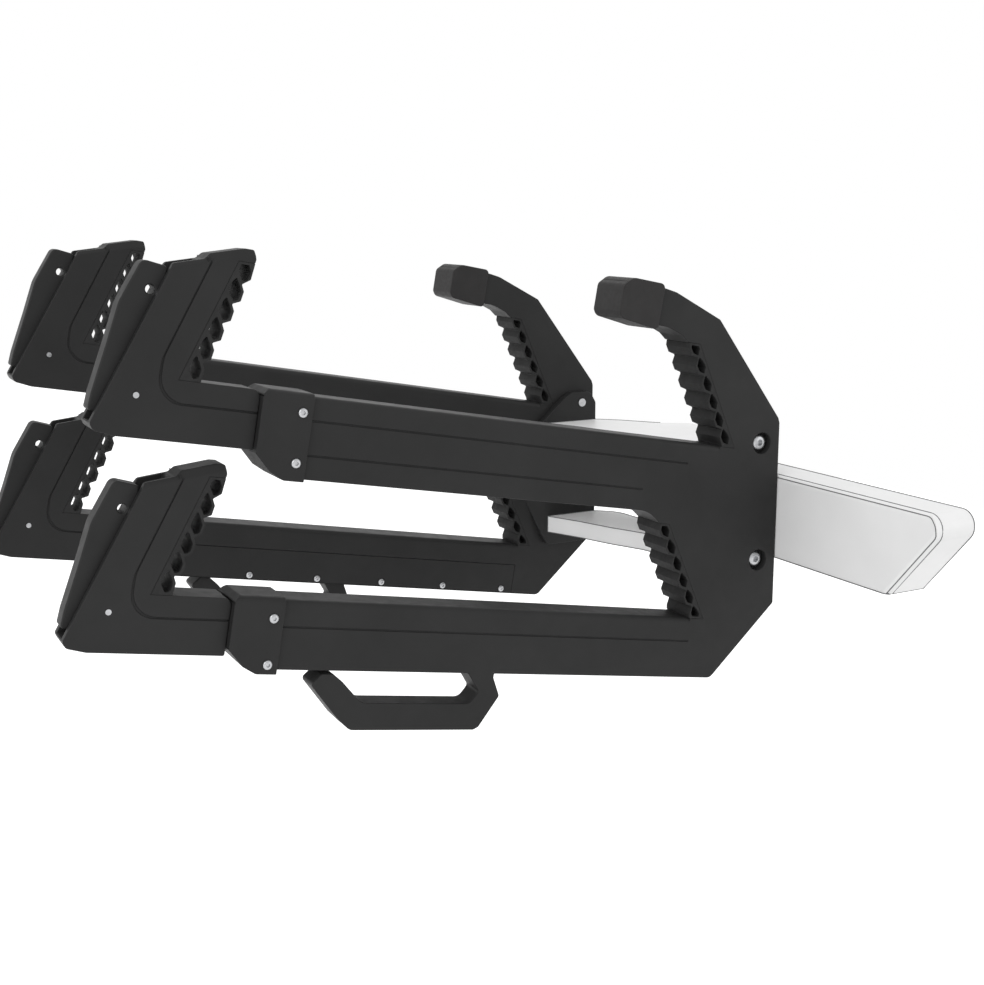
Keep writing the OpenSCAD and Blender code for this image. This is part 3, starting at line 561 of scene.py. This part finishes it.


# Thin dark lines of painted shade along the light casting's edges

# The wing in the arm's leaning frame, in mm: its front face, the rounding along that face, its
# corner radius, and its half width and height at the foot and at the top
WING_FRONT, WING_ROUND, WING_CORNER = 0.5, 5.0, 12.0
WING_LOW, WING_TOP = (288.5, 39.0), (348.5, 108.0)
WING_BACK = WING_FRONT + 36.5
LEANING = Matrix.Translation((-0.0609, 0, -0.0775)) @ Matrix.Rotation(math.radians(-10.35), 4, "Y")
# How far above its foot, above its top, beyond its ends and behind its front, in mm, an edge
# counts as the wing's own
FOOT_MARGIN, TOP_MARGIN, END_MARGIN, FRONT_MARGIN = 3, 2, 1, 2
# The beads' radius and facets, the least turn of an edge that gets a painted shade line, and the
# steps around each corner of the wing
LINE_MM, LINE_SIDES, SHADE_LINE_TURN, CORNER_STEPS = 0.42, 6, math.radians(30), 10
# Ends of lines this close are one
LINE_JOIN = 0.01 * MM
# No painted shade line is put on the mounting flange, which lies between here and the boat
FLANGE_X = -0.02
# How far around the rounding, from the front face to the top, each of the two painted shade lines
# runs
LINE_TURNS = (math.radians(38), math.radians(88))


def wing_line(inset, depth):
    """The wing's outline up one end, along the top and down the other, inset from it, in metres."""
    run, rise = WING_TOP[0] - WING_LOW[0], WING_TOP[1] - WING_LOW[1]
    foot = Vector((WING_LOW[0] - inset * math.hypot(run, rise) / rise, WING_LOW[1]))
    top = WING_TOP[1] - inset
    corner = Vector((foot.x + (top - foot.y) * run / rise, top))
    down, back = (foot - corner).normalized(), Vector((-1, 0))
    half = down.angle(back) / 2
    radius = WING_CORNER - inset
    centre = corner + (down + back).normalized() * radius / math.sin(half)
    first, last = (corner + way * radius / math.tan(half) - centre for way in (down, back))
    bend = [centre + first.slerp(last, i / CORNER_STEPS).normalized() * radius
            for i in range(CORNER_STEPS + 1)]
    side = [foot, *bend]
    return [LEANING @ (Vector((depth, y * way, u)) * MM)
            for way, row in ((1, side), (-1, side[::-1])) for y, u in row]


def edge_line_tree():
    """A thin round bead along every edge that it is given."""
    tree = bpy.data.node_groups.new("edge_line", "GeometryNodeTree")
    tree.interface.new_socket("Edges", in_out="INPUT", socket_type="NodeSocketGeometry")
    tree.interface.new_socket("Radius", in_out="INPUT", socket_type="NodeSocketFloat")
    tree.interface.new_socket("Finish", in_out="INPUT", socket_type="NodeSocketMaterial")
    tree.interface.new_socket("Lines", in_out="OUTPUT", socket_type="NodeSocketGeometry")
    given = add(tree, "NodeGroupInput")
    path = add(tree, "GeometryNodeMeshToCurve", Mesh=given.outputs["Edges"])
    section = add(tree, "GeometryNodeCurvePrimitiveCircle", Resolution=LINE_SIDES,
                  Radius=given.outputs["Radius"])
    bead = add(tree, "GeometryNodeCurveToMesh", Curve=path.outputs[0],
               Profile_Curve=section.outputs[0], Fill_Caps=True)
    whole = add(tree, "GeometryNodeRealizeInstances", Geometry=bead.outputs[0])
    coated = add(tree, "GeometryNodeSetMaterial", Geometry=whole.outputs[0],
                 Material=given.outputs["Finish"])
    add(tree, "NodeGroupOutput", _0=coated.outputs[0])
    return tree


def on_wing(point):
    """Whether a point lies on the wing above its foot, where the lines follow the outline."""
    x, y, u = LEANING.inverted() @ point / MM
    high = WING_LOW[1] + FOOT_MARGIN < u < WING_TOP[1] + TOP_MARGIN
    wide = abs(y) < WING_TOP[0] + END_MARGIN
    return high and wide and (x > WING_FRONT + FRONT_MARGIN or abs(y) > WING_LOW[0] / 2)


# Dark beads of painted shade: along the arm's sharp edges off the wing, and along the wing's
# outline and the two edges of its rounding
casting = bmesh.new()
casting.from_mesh(merged_copy("mount_arm"))
places, runs = [], []
for edge in casting.edges:
    ends = [v.co for v in edge.verts]
    shade_lined = edge.calc_face_angle(0) > SHADE_LINE_TURN and ends[0].x < FLANGE_X
    if shade_lined and not any(on_wing(end) for end in ends):
        runs.append((len(places), len(places) + 1))
        places += [end.copy() for end in ends]
surface = BVHTree.FromBMesh(casting)
rows = [wing_line(WING_ROUND * (1 - math.sin(turn)), WING_FRONT + WING_ROUND * (1 - math.cos(turn)))
        for turn in LINE_TURNS]
rows.append(wing_line(0, WING_BACK))
rows += [[LEANING @ (Vector((depth, WING_LOW[0] * way, WING_LOW[1])) * MM)
          for depth in (WING_FRONT, WING_FRONT + WING_ROUND, WING_BACK)]
         for way in (1, -1)]
for row in rows:
    runs += [(len(places) + i, len(places) + i + 1) for i in range(len(row) - 1)]
    places += [surface.find_nearest(place)[0] for place in row]
casting.free()
mesh = bpy.data.meshes.new("arm_edge_lines")
mesh.from_pydata(places, runs, [])
work = bmesh.new()
work.from_mesh(mesh)
bmesh.ops.remove_doubles(work, verts=work.verts, dist=LINE_JOIN)
work.to_mesh(mesh)
work.free()
lines = bpy.data.objects.new("arm_edge_lines", mesh)
bpy.context.scene.collection.objects.link(lines)
modifier = lines.modifiers.new("beads", "NODES")
modifier.node_group = edge_line_tree()
for socket in modifier.node_group.interface.items_tree:
    if socket.in_out == "INPUT" and socket.name != "Edges":
        modifier[socket.identifier] = {"Radius": LINE_MM * MM, "Finish": PAINTED_EDGE_SHADE}[socket.name]
finished(lines, "arm_edge_lines")
# The beads stand proud of the casting by a hair, and nowhere beyond the whole rack
for vertex in lines.data.vertices:
    vertex.co = [min(max(place, low), high) for place, low, high in zip(vertex.co, *cad_box)]
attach(lines, BODY_OF["mount_arm"])


# Camera, light and floor

# The camera that took the photo: its place, its right, down and forward, and its focal length
CAMERA_AT = Vector((-0.8376, -1.0299, 0.1096))
right, down, forward = (Vector(row) for row in (
    (0.86835282, -0.47090086, 0.15561417),
    (0.08018801, -0.17633262, -0.98105896),
    (0.48942136, 0.86438371, -0.11535833)))
FOCAL_PX, IMAGE_PX, SENSOR_MM = 1380.03, 985, 36.0
camera_data = bpy.data.cameras.new("camera")
camera_data.sensor_fit = "AUTO"
camera_data.sensor_width = SENSOR_MM
camera_data.lens = FOCAL_PX * SENSOR_MM / IMAGE_PX
camera_data.clip_start = 10 * MM
camera = bpy.data.objects.new("camera", camera_data)
bpy.context.scene.collection.objects.link(camera)
turned = Matrix((right, -down, -forward)).transposed().to_4x4()
camera.matrix_world = Matrix.Translation(CAMERA_AT) @ turned
bpy.context.scene.camera = camera
bpy.context.scene.view_settings.view_transform = "Standard"


# Soft round lamps that face the rack's middle: place, width in metres and watts. The key is low
# beyond the jaws, so that it reaches the wing's front between the forks
MIDDLE = Vector((-0.3, 0.0, 0.0))
LAMPS = {"key": ((-2.3, -1.1, 0.9), 1.6, 14), "fill": ((1.4, -2.0, 0.9), 1.8, 6),
         "rim": ((0.4, 2.0, 1.8), 1.6, 4)}
# The soft light from all around, the plain white that the camera sees, and how much the floor is
# lifted towards it so that only the rack's shadow shows
SOFT, WHITE, FLOOR_LIFT = 0.95, 1.0, 0.45

for name, (place, width, watts) in LAMPS.items():
    data = bpy.data.lights.new(name, "AREA")
    data.shape, data.size, data.energy = "DISK", width, watts
    lamp = bpy.data.objects.new(name, data)
    lamp.location = place
    lamp.rotation_euler = (MIDDLE - Vector(place)).to_track_quat("-Z", "Y").to_euler()
    bpy.context.scene.collection.objects.link(lamp)


def bright_rays(tree):
    """1 for the rays that should meet plain white: the camera's, and mirrored or passing ones."""
    path = add(tree, "ShaderNodeLightPath").outputs
    two = add(tree, "ShaderNodeMath", {"operation": "MAXIMUM"},
              _0=path["Is Camera Ray"], _1=path["Is Glossy Ray"])
    return add(tree, "ShaderNodeMath", {"operation": "MAXIMUM"},
               _0=two.outputs[0], _1=path["Is Transmission Ray"]).outputs[0]


world = bpy.data.worlds.new("studio")
bpy.context.scene.world = world
world.use_nodes = True
tree = world.node_tree
tree.nodes.clear()
soft = add(tree, "ShaderNodeBackground", Color=(1, 1, 1, 1), Strength=SOFT)
white = add(tree, "ShaderNodeBackground", Color=(1, 1, 1, 1), Strength=WHITE)
both = add(tree, "ShaderNodeMixShader",
           _0=bright_rays(tree), _1=soft.outputs[0], _2=white.outputs[0])
add(tree, "ShaderNodeOutputWorld", Surface=both.outputs[0])

# The rack hangs this far over a matt floor that reaches this far to each side, in metres
DROP, REACH = 0.32, 6.0
FLOOR_ROUGH, FLOOR_SPECULAR = 0.9, 0.1
floor_z = cad_box[0][2] - DROP
floor_mesh = bpy.data.meshes.new("floor")
floor_mesh.from_pydata([(-REACH, -REACH, floor_z), (REACH, -REACH, floor_z),
                        (REACH, REACH, floor_z), (-REACH, REACH, floor_z)], [], [(0, 1, 2, 3)])
floor = bpy.data.objects.new("floor", floor_mesh)
bpy.context.scene.collection.objects.link(floor)
material, tree, shader, place = new_material("pale_floor")
shader.inputs["Base Color"].default_value = linear("#f2f2f2")
shader.inputs["Roughness"].default_value = FLOOR_ROUGH
shader.inputs["Specular IOR Level"].default_value = FLOOR_SPECULAR
shader.inputs["Emission Color"].default_value = (1, 1, 1, 1)
lift = add(tree, "ShaderNodeMath", {"operation": "MULTIPLY"}, _0=bright_rays(tree), _1=FLOOR_LIFT)
tree.links.new(lift.outputs[0], shader.inputs["Emission Strength"])
floor_mesh.materials.append(material)

bpy.context.view_layer.update()
